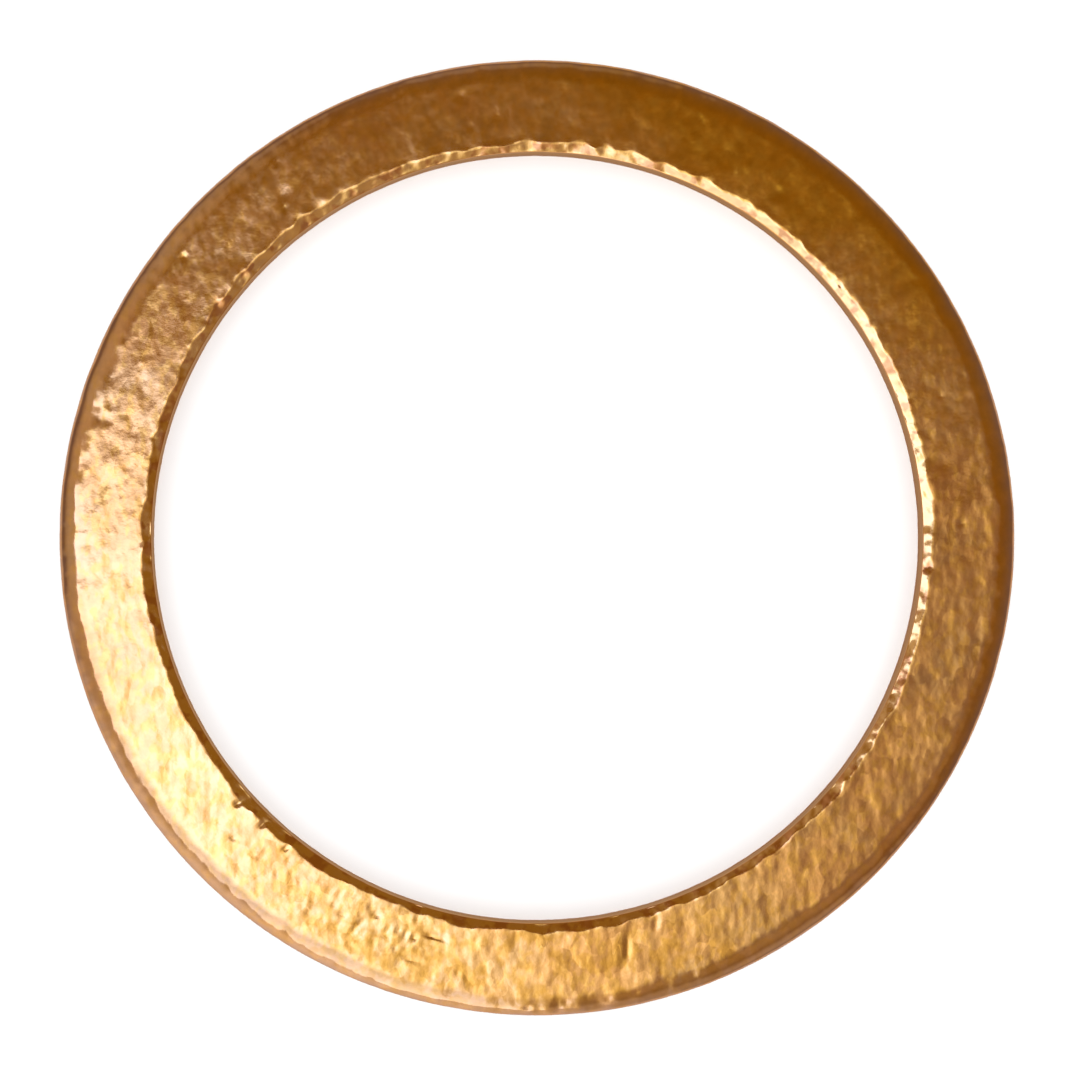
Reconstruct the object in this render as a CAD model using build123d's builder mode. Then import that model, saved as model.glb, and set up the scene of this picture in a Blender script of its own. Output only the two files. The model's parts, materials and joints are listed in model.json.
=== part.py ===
"""Flat copper washer, 16 x 20 x 1.5 mm: the plain sealing ring that goes under an M16 bolt head or banjo.

The real thing is one piece, blanked and pierced from copper strip in a press and then tumbled. Its
section keeps what the press leaves: the rim's top edge is drawn down, the bore's is turned over in a
shallow bevel, both walls are burnished below them and lean back where the metal broke away, and the
bottom edges are only eased.

The bore runs along +Z. The origin is the centre of the bottom face, and the rolled rim is on top.
"""

import os

from build123d import *

# Ring, in millimetres
bolt_diameter = 16.0
bore_diameter = bolt_diameter + 0.05
outside_diameter = 19.9
thickness = 1.5

# Top edges, rolled at the rim and bevelled at the bore: how far in they start, and how deep they drop
rim_roll_width = 0.42
rim_roll_depth = 0.24
bore_bevel_width = 0.20
bore_bevel_depth = 0.035

# Sheared walls: the lower share of the thickness broke away and leans back by the breakout
breakout_share = 0.36
breakout = 0.02
bottom_edge_radius = 0.06

bore_radius = bore_diameter / 2
rim_radius = outside_diameter / 2
rim_roll_base = thickness - rim_roll_depth
bore_bevel_base = thickness - bore_bevel_depth
breakout_height = breakout_share * thickness


def build_washer_ring():
    """The whole ring, turned from its section."""
    with BuildPart() as washer_ring:
        with BuildSketch(Plane.XZ) as section:
            with BuildLine():
                bottom_land = Line((bore_radius + breakout, 0), (rim_radius - breakout, 0))
                rim_breakout = Line(bottom_land @ 1, (rim_radius, breakout_height))
                rim_wall = Line(rim_breakout @ 1, (rim_radius, rim_roll_base))
                rim_roll = EllipticalCenterArc(
                    rim_wall @ 1 - (rim_roll_width, 0),
                    rim_roll_width,
                    rim_roll_depth,
                    start_angle=0,
                    arc_size=90,
                )
                top_land = Line(rim_roll @ 1, (bore_radius + bore_bevel_width, thickness))
                bore_bevel = Line(top_land @ 1, (bore_radius, bore_bevel_base))
                bore_wall = Line(bore_bevel @ 1, (bore_radius, breakout_height))
                Line(bore_wall @ 1, bottom_land @ 0)
            make_face()
            bottom_corners = section.vertices().group_by(Axis.Y)[0]
            fillet(bottom_corners, radius=bottom_edge_radius)
        revolve(axis=Axis.Z)
    washer_ring.part.label = "washer_ring"
    return washer_ring.part


os.makedirs("parts", exist_ok=True)
ring = build_washer_ring()
export_step(ring, f"parts/{ring.label}.step")
print(f"{ring.label}: {ring.volume:.1f} mm3, bore wall {bore_bevel_base - breakout_height:.3f} mm long")
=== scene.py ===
"""A copper washer on a pale floor, seen from almost straight above under one broad soft light.

The ring is one grid: its section, followed round the bore axis, then marked by the press, the barrel and
handling. Everything is in the CAD frame: the bore runs along +Z, and the ring lies on z = 0. The ring is
worked out in millimetres and made in metres, and the studio round it is in metres.
"""

import json
import math

import bpy
import numpy as np
from mathutils import Matrix, Vector, noise


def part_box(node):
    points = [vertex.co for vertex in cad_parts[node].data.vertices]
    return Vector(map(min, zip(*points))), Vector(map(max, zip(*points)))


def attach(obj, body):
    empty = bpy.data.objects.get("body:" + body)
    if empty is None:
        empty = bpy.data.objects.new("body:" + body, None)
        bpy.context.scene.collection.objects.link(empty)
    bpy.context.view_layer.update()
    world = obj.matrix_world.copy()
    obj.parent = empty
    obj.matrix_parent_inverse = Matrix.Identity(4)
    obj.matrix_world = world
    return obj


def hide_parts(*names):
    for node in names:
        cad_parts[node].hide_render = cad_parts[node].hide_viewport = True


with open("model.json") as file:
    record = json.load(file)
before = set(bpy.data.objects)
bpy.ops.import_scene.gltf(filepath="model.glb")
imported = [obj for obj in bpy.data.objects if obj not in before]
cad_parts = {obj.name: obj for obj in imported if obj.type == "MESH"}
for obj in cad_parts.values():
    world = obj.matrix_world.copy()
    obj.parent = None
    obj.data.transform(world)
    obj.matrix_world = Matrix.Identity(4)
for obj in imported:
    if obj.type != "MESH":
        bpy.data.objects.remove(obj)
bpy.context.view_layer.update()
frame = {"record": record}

MM = 0.001
QUARTER_TURN = math.pi / 2
FULL_TURN = 2 * math.pi
rng = np.random.default_rng(1620)

# ---------------------------------------------------------------- sizes, in millimetres

mounts = {mount["name"]: mount for mount in frame["record"]["mounts"]}
rim_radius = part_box("washer_ring")[1].x / MM
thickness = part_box("washer_ring")[1].z / MM
bore_radius = mounts["bore"]["dims"]["r_mm"]

rim_roll_width = 0.42
rim_roll_depth = 0.24
bore_bevel_width = 0.20
bore_bevel_depth = 0.035
breakout = 0.02
breakout_height = thickness - bore_bevel_depth - mounts["bore"]["dims"]["length_mm"]
bottom_edge_radius = 0.06

# How the top edges differ round the ring: a side in degrees where the roll is wider or the bevel narrower,
# by how much, and unevenness as (share of the size, wavelength, octaves, seed)
DEEPEST_SIDE, DEEPEST_GAIN = 192, 0.28
LIGHTEST_SIDE, LIGHTEST_LOSS = 290, 0.15
BEVEL_MEAN = 0.88
ROLL_UNEVENNESS = [(0.10, 5.0, 2, 3.1), (0.15, 0.6, 3, 7.7)]
BEVEL_UNEVENNESS = [(0.20, 2.0, 3, 14.3), (0.34, 0.7, 3, 19.2)]
BEVEL_DROP_UNEVENNESS = [(0.5, 1.1, 2, 27.4)]

# The strip was rolled along Y, so what the mill left in it is drawn out that way, its fine grain a bit less
ALONG_STRIP = (1, 0.5, 1)
GRAIN_ALONG_STRIP = (1, 0.6, 1)

# The grid: columns round the ring, and steps along each stretch of the section
COLUMNS = 1080
STEPS = {
    "bottom_land": 12,
    "rim_edge": 3,
    "rim_breakout": 6,
    "rim_wall": 7,
    "rim_roll": 13,
    "top_land": 24,
    "bore_bevel": 11,
    "bore_wall": 7,
    "bore_breakout": 5,
    "bore_edge": 3,
}
COLUMN_ANGLES = FULL_TURN * np.arange(COLUMNS) / COLUMNS

# Noise that the ring is worn with: each octave has half the wavelength of the one before, and less height
OCTAVE_ROUGHNESS, OCTAVE_SCALE = 0.8, 2.0


# ---------------------------------------------------------------- the section, as the press leaves it


def round_the_ring(wavelength, octaves, seed):
    """Smooth noise, about -1 to 1, with one value a column. It closes on itself round the ring."""
    turns = rim_radius / wavelength
    places = [Vector((turns * math.cos(a), turns * math.sin(a), seed)) for a in COLUMN_ANGLES]
    return np.array([noise.fractal(place, OCTAVE_ROUGHNESS, OCTAVE_SCALE, octaves) for place in places])


def unevenness(waves):
    """How far a size strays from its mean in each column, as a share of it."""
    return sum(share * round_the_ring(*wave) for share, *wave in waves)


def facing(side):
    """How much each column faces that side, in degrees: 1 straight at it, 0 from a quarter turn away on."""
    return np.clip(np.cos(COLUMN_ANGLES - math.radians(side)), 0, None) ** 2


def point(radius, height):
    """One point of the section in every column, as (radius, height) pairs."""
    return np.stack(np.broadcast_arrays(radius, height, np.zeros(COLUMNS))[:2], axis=-1).astype(float)


def straight(start, end, steps):
    """Evenly spaced points from start, up to but without end."""
    share = (np.arange(steps) / steps)[None, :, None]
    return start[:, None] + (end - start)[:, None] * share


def quarter(centre, width, height, first_angle, steps):
    """A quarter of an ellipse, counter-clockwise from first_angle, without its last point."""
    angle = first_angle + QUARTER_TURN * np.arange(steps) / steps
    half_axes = point(width, height)
    return centre[:, None] + half_axes[:, None] * np.stack([np.cos(angle), np.sin(angle)], axis=-1)[None]


def section():
    """The ring's section in every column, counter-clockwise from the bottom land's inner end.

    Returns the (radius, height) points, and the name of the stretch that each step belongs to.
    """
    rim_pull = 1 + DEEPEST_GAIN * facing(DEEPEST_SIDE) + unevenness(ROLL_UNEVENNESS)
    bore_pull = BEVEL_MEAN - LIGHTEST_LOSS * facing(LIGHTEST_SIDE) + unevenness(BEVEL_UNEVENNESS)
    edge = bottom_edge_radius
    rim_foot, bore_foot = rim_radius - breakout, bore_radius + breakout
    rim_base = thickness - rim_roll_depth * rim_pull
    bevel_base = thickness - bore_bevel_depth * (1 + unevenness(BEVEL_DROP_UNEVENNESS))
    roll_start = rim_radius - rim_roll_width * rim_pull
    bevel_start = bore_radius + bore_bevel_width * bore_pull

    bottom_ends = point(bore_foot + edge, 0), point(rim_foot - edge, 0)
    rim_shear, rim_top = point(rim_radius, breakout_height), point(rim_radius, rim_base)
    land_ends = point(roll_start, thickness), point(bevel_start, thickness)
    bore_top, bore_shear = point(bore_radius, bevel_base), point(bore_radius, breakout_height)
    roll_size = rim_radius - roll_start, thickness - rim_base
    stretches = {
        "bottom_land": straight(*bottom_ends, STEPS["bottom_land"]),
        "rim_edge": quarter(point(rim_foot - edge, edge), edge, edge, -QUARTER_TURN, STEPS["rim_edge"]),
        "rim_breakout": straight(point(rim_foot, edge), rim_shear, STEPS["rim_breakout"]),
        "rim_wall": straight(rim_shear, rim_top, STEPS["rim_wall"]),
        "rim_roll": quarter(point(roll_start, rim_base), *roll_size, 0, STEPS["rim_roll"]),
        "top_land": straight(*land_ends, STEPS["top_land"]),
        "bore_bevel": straight(land_ends[1], bore_top, STEPS["bore_bevel"]),
        "bore_wall": straight(bore_top, bore_shear, STEPS["bore_wall"]),
        "bore_breakout": straight(bore_shear, point(bore_foot, edge), STEPS["bore_breakout"]),
        "bore_edge": quarter(point(bore_foot + edge, edge), edge, edge, 2 * QUARTER_TURN, STEPS["bore_edge"]),
    }
    names = np.array([name for name in STEPS for _ in range(STEPS[name])])
    return np.concatenate([stretches[name] for name in STEPS], axis=1), names


def share_of(names, stretches):
    """How much each step of the section belongs to those stretches, from 0 to 1, softened at the ends."""
    inside = np.isin(names, stretches).astype(float)
    return (np.roll(inside, 1) + 2 * inside + np.roll(inside, -1)) / 4


# ---------------------------------------------------------------- marks, pressed into a map of depths


def wrapped(distance, girth):
    """The distance the shorter way round a loop, from minus half its girth to half."""
    return (distance + girth / 2) % girth - girth / 2


class Surface:
    """The ring's skin unrolled: round the ring by columns, and across it by the steps of the section.

    across is how far along the section each step lies, out of the girth. steepness is 0 where the skin
    lies flat and 1 where it stands upright.
    """

    def __init__(self, points, names):
        self.points = points
        self.names = names
        self.depth = np.zeros(points.shape[:2])
        typical = points.mean(axis=0)
        lengths = np.linalg.norm(np.roll(typical, -1, axis=0) - typical, axis=1)
        run = np.roll(typical, -1, axis=0) - np.roll(typical, 1, axis=0)
        self.steepness = np.abs(run[:, 1]) / np.linalg.norm(run, axis=1)
        self.radius = typical[:, 0]
        self.across = np.concatenate([[0], np.cumsum(lengths)[:-1]])
        self.girth = lengths.sum()

    def place_of(self, stretch, share):
        """How far across the skin lies a share of the way along a stretch."""
        inside = np.flatnonzero(self.names == stretch)
        start = self.across[inside[0]]
        end = self.across[(inside[-1] + 1) % len(self.across)] or self.girth
        return start + (end - start) * share

    def press(self, angle, across, length, width, turn, depth):
        """Presses an oval hollow of that length and width, turned from the way round the ring."""
        over = wrapped(self.across - across, self.girth)
        steps = np.flatnonzero(np.abs(over) < length)
        along = wrapped(COLUMN_ANGLES - angle, FULL_TURN) * self.radius[steps].mean()
        columns = np.flatnonzero(np.abs(along) < length)
        along, over = along[columns][:, None], over[steps][None]
        x = (along * math.cos(turn) + over * math.sin(turn)) / (length / 2)
        y = (over * math.cos(turn) - along * math.sin(turn)) / (width / 2)
        bowl = np.clip(1 - x**2 - y**2, 0, None) ** 2
        self.depth[np.ix_(columns, steps)] += depth * bowl

    def roughen(self, depth, wavelength, octaves, seed, squeeze=(1, 1, 1), stretches=tuple(STEPS)):
        """Adds noise, about that deep, on those stretches. A squeeze under 1 draws it out that way."""
        scale = np.array(squeeze) / wavelength
        radius, height = self.points[..., 0], self.points[..., 1]
        angle = COLUMN_ANGLES[:, None]
        x, y = radius * np.cos(angle) * scale[0], radius * np.sin(angle) * scale[1]
        places = np.stack([x, y, height * scale[2] + seed], axis=-1).reshape(-1, 3)
        flat = [noise.fractal(Vector(place), OCTAVE_ROUGHNESS, OCTAVE_SCALE, octaves) for place in places]
        self.depth += share_of(self.names, stretches) * depth * np.array(flat).reshape(radius.shape)


def dent(surface, length, angle, across, roundness, depth):
    """One hollow, whose width, turn and depth are left to chance. The depth is a share of its length."""
    surface.press(
        angle=angle,
        across=across,
        length=length,
        width=length * rng.uniform(*roundness),
        turn=rng.uniform(0, math.pi),
        depth=rng.uniform(*depth) * length,
    )


def tumble(surface, count, size, depth):
    """Small hollows all over, from the ring knocking against others in the barrel."""
    for _ in range(count):
        length = rng.uniform(*size)
        angle = rng.uniform(0, FULL_TURN)
        dent(surface, length, angle, rng.uniform(0, surface.girth), roundness=(0.45, 1.0), depth=depth)


def pit(surface, count, side, scatter, shares, size, depth):
    """Small deep pits in the top land, most of them near that side in degrees."""
    for _ in range(count):
        length = rng.uniform(*size)
        angle = math.radians(rng.normal(side, scatter))
        across = surface.place_of("top_land", rng.uniform(*shares))
        dent(surface, length, angle, across, roundness=(0.6, 1.0), depth=depth)


# Single marks: the stretch and how far along it, degrees round the ring, then millimetres long and wide,
# degrees turned from the way round, and millimetres deep
MARKS = [
    ("top_land", 0.08, 141.6, 0.22, 0.20, 0, 0.0090),
    ("top_land", 0.02, 124.8, 0.28, 0.16, 30, 0.0070),
    ("top_land", 0.70, 127.6, 0.22, 0.18, 0, 0.0070),
    ("top_land", 0.15, 99.9, 0.22, 0.18, 80, 0.0050),
    ("top_land", 0.64, 99.3, 0.24, 0.16, 75, 0.0050),
    ("top_land", 0.55, 2.0, 0.26, 0.22, 0, 0.0060),
    ("top_land", 0.48, 19.4, 0.22, 0.16, 0, 0.0060),
    ("top_land", 0.71, 255.5, 0.95, 0.17, 0, 0.0100),
    ("top_land", 0.28, 253.4, 0.80, 0.16, -4, 0.0085),
    ("top_land", 0.48, 249.0, 0.65, 0.16, 6, 0.0080),
    ("top_land", 0.97, 221.6, 0.34, 0.16, 80, 0.0130),
    ("top_land", 0.98, 226.2, 0.34, 0.16, 80, 0.0130),
    ("top_land", 0.93, 231.0, 0.30, 0.14, 80, 0.0110),
    ("top_land", 0.60, 282.3, 0.70, 0.20, 78, 0.0090),
    ("top_land", 0.86, 287.0, 0.45, 0.24, 60, 0.0080),
    ("top_land", 0.40, 245.0, 0.90, 0.15, 70, 0.0070),
    ("bore_bevel", 0.40, 16.0, 0.30, 0.16, 60, 0.0080),
    ("bore_bevel", 0.30, 298.4, 0.30, 0.18, 85, 0.0090),
    ("bore_bevel", 0.50, 132.0, 0.50, 0.20, 20, 0.0080),
    ("rim_roll", 0.53, 268.7, 0.24, 0.18, 0, 0.0140),
    ("rim_roll", 0.72, 273.5, 0.20, 0.16, 0, 0.0110),
    ("rim_roll", 0.70, 278.7, 0.18, 0.14, 0, 0.0100),
    ("rim_roll", 0.72, 282.2, 0.22, 0.15, 0, 0.0110),
    ("rim_roll", 0.76, 289.5, 0.24, 0.16, 0, 0.0110),
    ("rim_roll", 0.71, 297.0, 0.20, 0.15, 0, 0.0100),
    ("rim_roll", 0.50, 330.0, 0.34, 0.22, 10, 0.0160),
    ("rim_roll", 0.60, 179.0, 0.60, 0.12, 84, 0.0080),
]


def wear(surface):
    """Everything that mill, press, barrel and hands did to the skin, as depths in millimetres."""
    edges, bevel = ("rim_roll", "bore_bevel"), ("bore_bevel",)
    walls, torn = ("rim_wall", "bore_wall"), ("rim_breakout", "bore_breakout")
    tear_depth = 0.0120

    surface.roughen(depth=0.0020, wavelength=3.2, octaves=2, seed=5)
    surface.roughen(depth=0.0022, wavelength=0.42, octaves=2, seed=31, squeeze=ALONG_STRIP)
    surface.roughen(depth=0.0040, wavelength=0.30, octaves=2, seed=47, stretches=edges)
    surface.roughen(depth=0.0088, wavelength=0.36, octaves=3, seed=59, stretches=bevel)
    surface.roughen(depth=0.0036, wavelength=0.22, octaves=3, seed=71, squeeze=(1, 1, 0.05), stretches=walls)
    surface.roughen(depth=tear_depth, wavelength=0.16, octaves=3, seed=83, stretches=torn)
    surface.depth += share_of(surface.names, torn) * tear_depth

    tumble(surface, count=450, size=(0.12, 0.24), depth=(0.003, 0.010))
    tumble(surface, count=140, size=(0.25, 0.55), depth=(0.003, 0.009))
    pit(surface, count=90, side=244, scatter=9, shares=(0.1, 0.95), size=(0.14, 0.24), depth=(0.014, 0.030))
    for stretch, share, angle, length, width, turn, depth in MARKS:
        place = surface.place_of(stretch, share)
        surface.press(math.radians(angle), place, length, width, math.radians(turn), depth)


# ---------------------------------------------------------------- the mesh


def skin(surface):
    """The worn skin's points in metres, as a grid of columns and steps."""
    radius, height = surface.points[..., 0], surface.points[..., 1]
    run = np.roll(surface.points, -1, axis=1) - np.roll(surface.points, 1, axis=1)
    run /= np.linalg.norm(run, axis=-1, keepdims=True)
    radius = radius - surface.depth * run[..., 1]
    height = height + surface.depth * run[..., 0]
    angle = COLUMN_ANGLES[:, None]
    return np.stack([radius * np.cos(angle), radius * np.sin(angle), height], axis=-1) * MM


def bake_layout(mesh, surface, column, step):
    """The skin laid out flat in three rows, each a third of the way round, so that it bakes evenly."""
    rows, margin = 3, 0.004
    per_row = COLUMNS // rows
    row = column // per_row
    corner_column = (column % per_row)[:, None] + np.array([0, 1, 1, 0])
    ends = np.append(surface.across, surface.girth)
    corner_across = np.stack([ends[step], ends[step], ends[step + 1], ends[step + 1]], axis=-1)
    u = margin + (1 - 2 * margin) * corner_column / per_row
    v = (row[:, None] + margin * rows + (1 - 2 * margin * rows) * corner_across / surface.girth) / rows
    layer = mesh.uv_layers.new(name="OFBake")
    layer.data.foreach_set("uv", np.stack([u, v], axis=-1).astype(np.float32).ravel())


def masks(surface):
    """What the copper's nodes read from the mesh: where the skin is rolled over, bevelled and torn."""
    return {
        # rolled grows with steepness: it carries the painted shade of the steep rim
        "rolled": share_of(surface.names, ("rim_roll",)) * surface.steepness,
        "bevelled": share_of(surface.names, ("bore_bevel",)),
        "torn": share_of(surface.names, ("rim_breakout", "bore_breakout")),
    }


def build_ring():
    """The whole washer, standing for its CAD node."""
    surface = Surface(*section())
    wear(surface)
    points = skin(surface)
    step_count = points.shape[1]

    column, step = (grid.ravel() for grid in np.indices((COLUMNS, step_count)))
    next_column, next_step = (column + 1) % COLUMNS, (step + 1) % step_count
    corners = [(column, step), (next_column, step), (next_column, next_step), (column, next_step)]
    faces = np.stack([c * step_count + s for c, s in corners], axis=-1)

    mesh = bpy.data.meshes.new("washer")
    mesh.from_pydata(points.reshape(-1, 3).tolist(), [], faces.tolist())
    mesh.shade_smooth()
    bake_layout(mesh, surface, column, step)
    for name, values in masks(surface).items():
        layer = mesh.attributes.new(name, "FLOAT", "POINT")
        layer.data.foreach_set("value", np.tile(values, COLUMNS).astype(np.float32))

    ring = bpy.data.objects.new("washer", mesh)
    bpy.context.scene.collection.objects.link(ring)
    return ring


# ---------------------------------------------------------------- nodes


def node(tree, kind, inputs=None, **settings):
    """A new node. Each input is a value, or the output of another node."""
    made = tree.nodes.new(kind)
    for name, value in settings.items():
        setattr(made, name, value)
    for name, value in (inputs or {}).items():
        if isinstance(value, bpy.types.NodeSocket):
            tree.links.new(value, made.inputs[name])
        else:
            made.inputs[name].default_value = value
    return made


def maths(tree, operation, first, second=0.0):
    """One calculation with two numbers."""
    return node(tree, "ShaderNodeMath", {0: first, 1: second}, operation=operation).outputs[0]


def vectors(tree, operation, *terms, output="Vector"):
    """One calculation with vectors."""
    return node(tree, "ShaderNodeVectorMath", dict(enumerate(terms)), operation=operation).outputs[output]


def spread(tree, value, low, high, least=0.0, most=1.0):
    """value, taken from the range low..high to the range least..most, and kept in it."""
    inputs = {"Value": value, "From Min": low, "From Max": high, "To Min": least, "To Max": most}
    return node(tree, "ShaderNodeMapRange", inputs).outputs["Result"]


def blend(tree, share, first, second, way="MIX"):
    """Two colours mixed by share. Each is three numbers, or the output of another node."""
    first, second = (c if isinstance(c, bpy.types.NodeSocket) else (*c, 1) for c in (first, second))
    made = node(tree, "ShaderNodeMix", data_type="RGBA", blend_type=way)
    for socket, value in zip((made.inputs["Factor"], made.inputs[6], made.inputs[7]), (share, first, second)):
        if isinstance(value, bpy.types.NodeSocket):
            tree.links.new(value, socket)
        else:
            socket.default_value = value
    return made.outputs[2]


def cloud(tree, place, size, detail=3.0, roughness=0.55):
    """Noise, mostly 0.3 to 0.7, whose blots have that size in the units of place."""
    inputs = {"Vector": place, "Scale": 1 / size, "Detail": detail, "Roughness": roughness}
    return node(tree, "ShaderNodeTexNoise", inputs).outputs["Fac"]


def blots(tree, place, size, low, high, least=0.0, most=1.0, detail=3.0, roughness=0.55):
    """A cloud whose range low..high is taken to least..most, so a narrow range makes hard-edged blots."""
    return spread(tree, cloud(tree, place, size, detail, roughness), low, high, least, most)


# ---------------------------------------------------------------- the copper, in millimetres


def copper_material():
    material = bpy.data.materials.new("copper")
    material.use_nodes = True
    tree = material.node_tree
    tree.nodes.clear()

    where = node(tree, "ShaderNodeTexCoord").outputs["Object"]
    place = node(tree, "ShaderNodeMapping", {"Vector": where, "Scale": (1 / MM,) * 3}).outputs[0]
    along_strip = node(tree, "ShaderNodeMapping", {"Vector": place, "Scale": GRAIN_ALONG_STRIP}).outputs[0]
    names = ("rolled", "bevelled", "torn")
    mask = {name: node(tree, "ShaderNodeAttribute", attribute_name=name).outputs["Fac"] for name in names}

    shader = node(
        tree,
        "ShaderNodeBsdfPrincipled",
        {
            "Base Color": copper_colour(tree, place, along_strip, mask),
            "Metallic": 1.0,
            "Roughness": copper_roughness(tree, place, mask),
            "Normal": copper_grain(tree, place, along_strip),
        },
    )
    node(tree, "ShaderNodeOutputMaterial", {"Surface": shader.outputs["BSDF"]})
    return material


def copper_colour(tree, place, along_strip, mask):
    """Golden copper that drifts to redder and browner, flecked along the strip it was punched from.

    It has painted shade, browner and in blots, where the rolled rim stands steep, and a deeper orange painted
    shade on the side away from the light. It is cleaner on the bevel but for burnt blots, and darkest where
    it was torn, both from the torn metal's dullness and from painted shade at the walls' foot by the floor.
    """
    gold, red, brown = (0.86, 0.44, 0.17), (0.80, 0.36, 0.12), (0.66, 0.37, 0.17)
    amber, painted_shade_orange, smudge = (0.84, 0.40, 0.09), (0.80, 0.37, 0.045), (0.70, 0.31, 0.055)
    rim_shade_brown, clean, burnt = (0.58, 0.32, 0.20), (0.92, 0.50, 0.19), (0.66, 0.26, 0.10)
    torn_and_shaded_copper = (0.42, 0.17, 0.07)
    bevel_cover, torn_and_shade_cover = 0.8, 0.7

    drift = blots(tree, place, size=4.5, low=0.38, high=0.62)
    stain = blots(tree, place, size=1.3, low=0.52, high=0.72, most=0.5, detail=4.0)
    flecks = blots(tree, along_strip, size=0.16, low=0.48, high=0.62, most=0.65, detail=1.0)
    # Painted shade: a deeper, darker orange over the part of the ring towards 58 degrees, the side away from
    # the light
    painted_shade_side = side_patch(tree, place, side=58, ragged_size=2.2, low=0.90, high=1.05)
    smudges = blots(tree, place, size=0.40, low=0.47, high=0.57, most=0.70, detail=2.0)
    smudged_side = side_patch(tree, place, side=266, ragged_size=1.2, low=0.90, high=0.99)
    mottle = blots(tree, place, size=0.26, low=0.3, high=0.7, least=0.86, most=1.06, roughness=0.6)
    colour = blend(tree, drift, gold, red)
    colour = blend(tree, stain, colour, brown)
    colour = blend(tree, flecks, colour, amber)
    # Lays the painted shade of the side away from the light over the copper
    colour = blend(tree, painted_shade_side, colour, painted_shade_orange)
    colour = blend(tree, maths(tree, "MULTIPLY", smudged_side, smudges), colour, smudge)
    shade = node(tree, "ShaderNodeCombineColor", {"Red": mottle, "Green": mottle, "Blue": mottle}).outputs[0]
    colour = blend(tree, 1.0, colour, shade, "MULTIPLY")

    # Painted shade on the rolled rim, broken into blots
    rim_shade_blots = blots(tree, place, size=0.35, low=0.42, high=0.58, least=0.55, detail=2.0)
    burns = blots(tree, place, size=0.32, low=0.51, high=0.62, detail=2.0)
    bevel = blend(tree, burns, clean, burnt)
    # Painted shade: browner where the rolled rim stands steep
    colour = blend(tree, maths(tree, "MULTIPLY", mask["rolled"], rim_shade_blots), colour, rim_shade_brown)
    colour = blend(tree, maths(tree, "MULTIPLY", mask["bevelled"], bevel_cover), colour, bevel)
    # Darkest on the torn bands: the torn metal's own dullness, and painted shade at the walls' foot by the
    # floor
    return blend(tree, maths(tree, "MULTIPLY", mask["torn"], torn_and_shade_cover), colour, torn_and_shaded_copper)


def side_patch(tree, place, side, ragged_size, low, high):
    """A share from 0 to 1: the part of the ring towards that side in degrees, with a ragged border.

    low..high is how far towards the side the border lies, as a share of the rim's radius with the
    raggedness added, which is 0.15 on average.
    """
    raggedness = 0.30
    side = math.radians(side)
    towards = (math.cos(side) / rim_radius, math.sin(side) / rim_radius, 0)
    reach = vectors(tree, "DOT_PRODUCT", place, towards, output="Value")
    ragged = maths(tree, "MULTIPLY", cloud(tree, place, ragged_size), raggedness)
    return spread(tree, maths(tree, "ADD", reach, ragged), low, high)


def copper_roughness(tree, place, mask):
    """A polished metal's roughness, with dull tears."""
    torn_roughness = 0.3
    polish = blots(tree, place, size=0.5, low=0.3, high=0.7, least=0.10, most=0.15, detail=4.0, roughness=0.6)
    return maths(tree, "ADD", polish, maths(tree, "MULTIPLY", mask["torn"], torn_roughness))


def tilted(tree, normal, place, size, tilt):
    """The normal, tipped a little a different way in each grain of the metal, most across the strip."""
    middle = (0.5, 0.5, 0.5)
    tilts = (tilt, tilt / 3, tilt / 3)
    inputs = {"Vector": place, "Scale": 1 / size, "Detail": 0.0}
    ragged = node(tree, "ShaderNodeTexNoise", inputs).outputs["Color"]
    shifted = vectors(tree, "MULTIPLY_ADD", ragged, (size,) * 3, place)
    cells = node(tree, "ShaderNodeTexVoronoi", {"Vector": shifted, "Scale": 1 / size}).outputs["Color"]
    centred = vectors(tree, "SUBTRACT", cells, middle)
    return vectors(tree, "NORMALIZE", vectors(tree, "MULTIPLY_ADD", centred, tilts, normal))


def copper_grain(tree, place, along_strip):
    """The relief too fine for the mesh: the metal's grains, the mill's streaks, and a haze of knocks."""
    grain_size, grain_tilt = 0.22, 0.024
    haze_share = 0.16
    relief_depth = 0.0068
    normal = node(tree, "ShaderNodeNewGeometry").outputs["Normal"]
    normal = tilted(tree, normal, along_strip, grain_size, grain_tilt)
    streaks = cloud(tree, along_strip, size=0.28, detail=1.0, roughness=0.5)
    haze = cloud(tree, place, size=0.12, detail=2.0, roughness=0.5)
    height = maths(tree, "ADD", streaks, maths(tree, "MULTIPLY", haze, haze_share))
    inputs = {"Height": height, "Distance": relief_depth * MM, "Strength": 1.0, "Normal": normal}
    return node(tree, "ShaderNodeBump", inputs).outputs["Normal"]


# ---------------------------------------------------------------- the studio, in metres


def floor_material():
    material = bpy.data.materials.new("pale_floor")
    material.use_nodes = True
    shader = material.node_tree.nodes["Principled BSDF"]
    shader.inputs["Base Color"].default_value = (0.9, 0.9, 0.9, 1)
    shader.inputs["Roughness"].default_value = 0.8
    return material


def build_floor():
    """A wide pale floor, a hair below the ring, that the ring doesn't mirror."""
    half = 3.0
    drop = 0.01 * MM
    corners = [(-half, -half, -drop), (half, -half, -drop), (half, half, -drop), (-half, half, -drop)]
    mesh = bpy.data.meshes.new("floor")
    mesh.from_pydata(corners, [], [(0, 1, 2, 3)])
    mesh.materials.append(floor_material())
    floor = bpy.data.objects.new("floor", mesh)
    bpy.context.scene.collection.objects.link(floor)
    floor.visible_glossy = False


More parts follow.
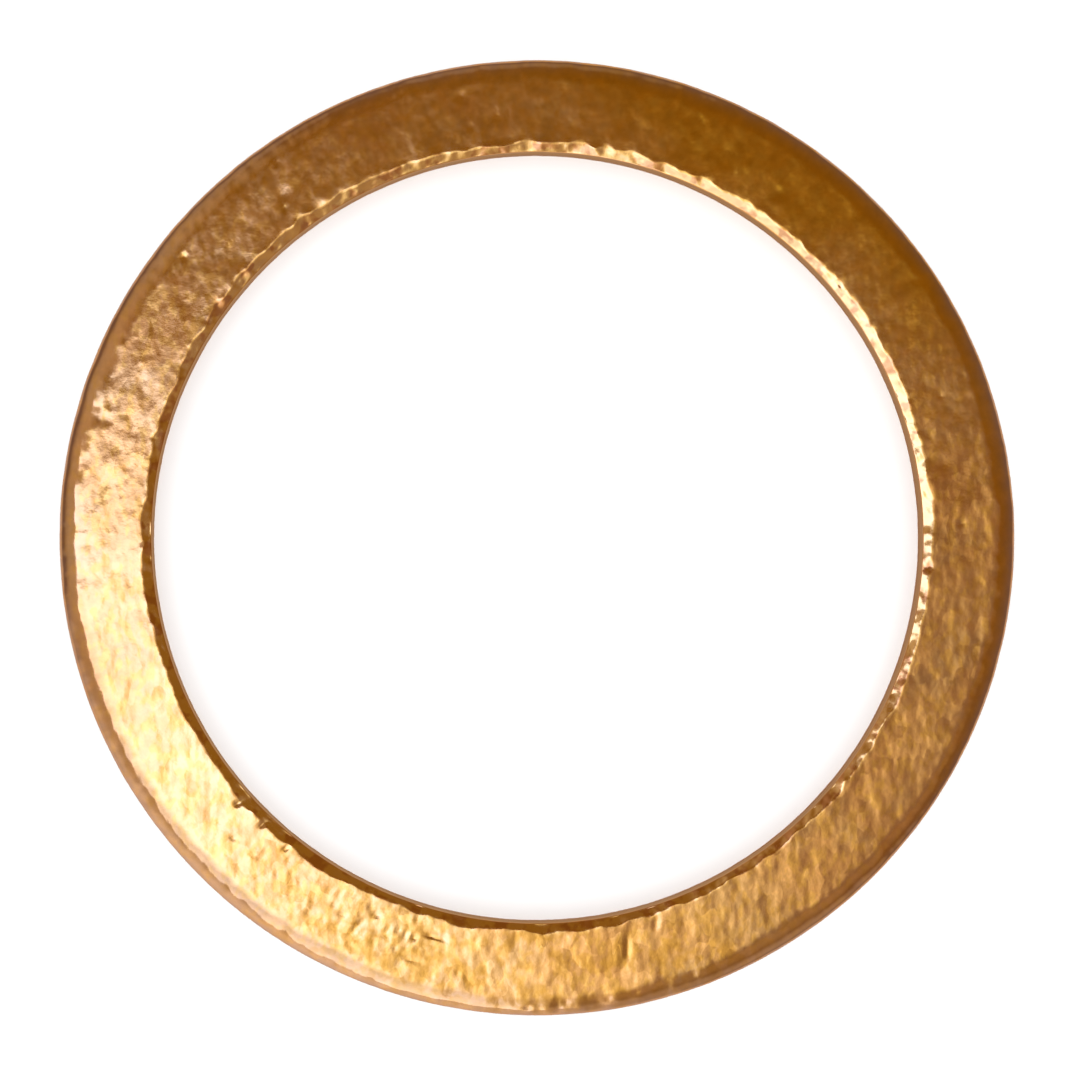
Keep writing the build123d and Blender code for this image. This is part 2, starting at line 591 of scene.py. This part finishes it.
def softbox_glow(tree, left, right, near, far):
    """The softbox's strength and whiteness at each of its points, both from 0 to 1.

    Places on it are slopes from the ring's centre: across towards the right, away towards the far side.
    """
    right_fade = 0.216
    far_end, far_fade = 0.0422, 0.0228
    corner, slant = -0.06, 0.12
    right_power, right_white_power, far_white_power = 1.6, 4.0, 2.0
    place = node(tree, "ShaderNodeNewGeometry").outputs["Parametric"]
    place = node(tree, "ShaderNodeSeparateXYZ", {"Vector": place})
    across = spread(tree, place.outputs["X"], 0.0, 1.0, -left, right)
    away = spread(tree, place.outputs["Y"], 0.0, 1.0, -near, far)

    right_glow = spread(tree, across, right, right - right_fade)
    beyond_corner = maths(tree, "MINIMUM", maths(tree, "SUBTRACT", across, corner), 0.0)
    slanted = maths(tree, "ADD", away, maths(tree, "MULTIPLY", beyond_corner, slant))
    far_glow = spread(tree, slanted, far_end, far_end - far_fade)

    near_glow = spread(tree, away, low=-0.34, high=-0.09, least=0.55)
    left_glow = spread(tree, across, low=-0.35, high=-0.10, least=0.80)
    strength = maths(tree, "MULTIPLY", maths(tree, "POWER", right_glow, right_power), far_glow)
    strength = maths(tree, "MULTIPLY", strength, near_glow)
    strength = maths(tree, "MULTIPLY", strength, left_glow)

    near_whiteness = spread(tree, away, low=-0.10, high=0.0, least=0.75)
    whiteness = maths(tree, "POWER", right_glow, right_white_power)
    whiteness = maths(tree, "MULTIPLY", whiteness, maths(tree, "POWER", far_glow, far_white_power))
    whiteness = maths(tree, "MULTIPLY", whiteness, near_whiteness)
    return strength, whiteness


def build_softbox():
    """One big soft light above the left and near side, whose corner hangs almost straight over the ring.

    Its reach each way is a slope from the ring's centre. Its light thins out over a short way towards the
    far edge, which runs on at a slant past the corner, and over a long way towards the right, where it
    turns warmer.
    """
    height = 0.6
    left, right, near, far = 0.65, 0.150, 1.90, 0.25
    radiance = 2.0
    core, fringe = (0.85, 1.31, 2.55), (0.96, 1.12, 0.77)

    data = bpy.data.lights.new("softbox", "AREA")
    data.shape = "RECTANGLE"
    data.size, data.size_y = (left + right) * height, (near + far) * height
    data.energy = radiance * math.pi * data.size * data.size_y
    data.use_nodes = True
    tree = data.node_tree
    emission = tree.nodes["Emission"]
    strength, whiteness = softbox_glow(tree, left, right, near, far)
    tree.links.new(blend(tree, whiteness, fringe, core), emission.inputs["Color"])
    tree.links.new(strength, emission.inputs["Strength"])

    light = bpy.data.objects.new("softbox", data)
    light.location = ((right - left) / 2 * height, (far - near) / 2 * height, height)
    light.visible_camera = False
    light.visible_diffuse = False
    bpy.context.scene.collection.objects.link(light)


def build_floor_light():
    """A broad light straight above that only whitens the floor: the ring doesn't mirror it."""
    height, diameter = 0.8, 6.0
    radiance = 2.0
    data = bpy.data.lights.new("floor_light", "AREA")
    data.shape = "DISK"
    data.size = diameter
    data.energy = radiance * math.pi * math.pi * (diameter / 2) ** 2
    light = bpy.data.objects.new("floor_light", data)
    light.location = (0, 0, height)
    light.visible_camera = False
    light.visible_glossy = False
    bpy.context.scene.collection.objects.link(light)


# Soft round patches of light in the room, each over those before it: degrees of azimuth and elevation,
# how many degrees out it stays full and where it ends, and its colour
ROOM_PATCHES = [
    (240, 8, 12, 58, (1.10, 1.15, 1.20)),
    (135, 25, 8, 22, (0.43, 0.39, 0.34)),
    (172, 48, 12, 37, (0.58, 0.54, 0.44)),
    (298, 62, 5, 25, (0.42, 0.35, 0.24)),
    (320, 80, 4, 12, (0.34, 0.29, 0.25)),
    (298, 15, 6, 28, (0.50, 0.46, 0.42)),
    (90, 20, 5, 22, (0.38, 0.34, 0.32)),
]


def room_patch(tree, direction, azimuth, elevation, core, reach):
    """How much of a soft round patch lies in a direction, from 0 to 1. All in degrees."""
    azimuth, elevation = math.radians(azimuth), math.radians(elevation)
    level = math.cos(elevation)
    centre = (level * math.cos(azimuth), level * math.sin(azimuth), math.sin(elevation))
    nearness = vectors(tree, "DOT_PRODUCT", direction, centre, output="Value")
    return spread(tree, nearness, math.cos(math.radians(reach)), math.cos(math.radians(core)))


def build_surroundings():
    """The dim warm room that the ring mirrors, over a pale floor. The camera sees plain white."""
    room, near_horizon, white = (0.27, 0.175, 0.035), (0.25, 0.20, 0.19), (1.0, 1.0, 1.0)
    pale_floor, underfoot = (0.80, 0.75, 0.68), (0.40, 0.25, 0.13)
    world = bpy.data.worlds.new("room")
    bpy.context.scene.world = world
    world.use_nodes = True
    world.cycles_visibility.diffuse = False
    tree = world.node_tree
    tree.nodes.clear()
    direction = node(tree, "ShaderNodeTexCoord").outputs["Generated"]
    up = node(tree, "ShaderNodeSeparateXYZ", {"Vector": direction}).outputs["Z"]
    overhead = spread(tree, up, low=0.15, high=0.95)
    above_floor = spread(tree, up, low=-0.40, high=-0.10)
    off_nadir = spread(tree, up, low=-0.97, high=-0.80)
    colour = blend(tree, overhead, near_horizon, room)
    colour = blend(tree, above_floor, pale_floor, colour)
    colour = blend(tree, off_nadir, underfoot, colour)
    for azimuth, elevation, core, reach, glow in ROOM_PATCHES:
        colour = blend(tree, room_patch(tree, direction, azimuth, elevation, core, reach), colour, glow)
    seen = node(tree, "ShaderNodeLightPath").outputs["Is Camera Ray"]
    background = node(tree, "ShaderNodeBackground", {"Color": blend(tree, seen, colour, white)})
    node(tree, "ShaderNodeOutputWorld", {"Surface": background.outputs[0]})


def build_camera():
    """Almost straight above the ring, a little to its left, so that a sliver of the bore's wall shows."""
    aim = Vector((0.045, -0.052, thickness)) * MM
    back = Vector((-2.0, -0.5, 106)) * MM
    data = bpy.data.cameras.new("camera")
    data.sensor_width = 36
    data.lens = 170
    data.clip_start, data.clip_end = 0.005, 10
    camera = bpy.data.objects.new("camera", data)
    camera.location = aim + back
    backward = back.normalized()
    right = Vector((0, 1, 0)).cross(back).normalized()
    camera.rotation_euler = Matrix((right, backward.cross(right), backward)).transposed().to_euler()
    bpy.context.scene.collection.objects.link(camera)
    bpy.context.scene.camera = camera


ring = build_ring()
ring.data.materials.append(copper_material())
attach(ring, "root")
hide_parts("washer_ring")

build_floor()
build_softbox()
build_floor_light()
build_surroundings()
build_camera()
bpy.context.scene.view_settings.view_transform = "Standard"
